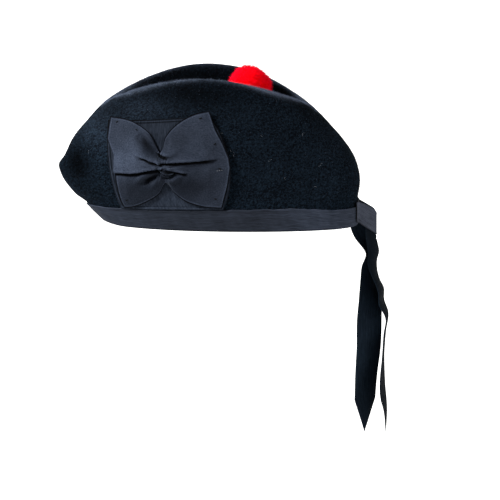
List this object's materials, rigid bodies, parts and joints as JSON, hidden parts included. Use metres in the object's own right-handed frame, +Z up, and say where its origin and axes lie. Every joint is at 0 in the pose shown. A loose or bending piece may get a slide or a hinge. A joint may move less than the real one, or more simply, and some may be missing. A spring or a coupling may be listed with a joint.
{
  "type": "glengarry cap",
  "caption": "Dark felt glengarry cap with a creased crown, ribbon-bound edge, gathered bow cockade, red pompom and hanging ribbon tails.",
  "frame": {"origin": "centre of the head opening, in the plane of the cap's lower edge, where the cap sits on a head", "axes": "+Z up through the crown, -Y to the front of the cap, +X to the wearer's left, where the cockade is"},
  "size_m": [0.1075, 0.3228, 0.3698],
  "materials": {
    "felt": "matt wool felt with a short nap, blue-black",
    "binding": "ribbed grosgrain ribbon, dark slate",
    "tail_ribbon": "soft ribbed ribbon, near black",
    "cockade_cloth": "ribbed ribbon with folded edges, dark slate",
    "bow_cloth": "fine ribbed silk ribbon, blue-grey with a slight sheen",
    "wool": "fluffy wool, bright red"
  },
  "bodies": {
    "root": {"crown": "felt", "band": "binding", "back_loop": "binding", "tail_broad": "tail_ribbon", "tail_turned": "tail_ribbon", "cockade_panel": "cockade_cloth", "cockade_bow": "bow_cloth", "pompom": "wool"}
  },
  "joints": []
}
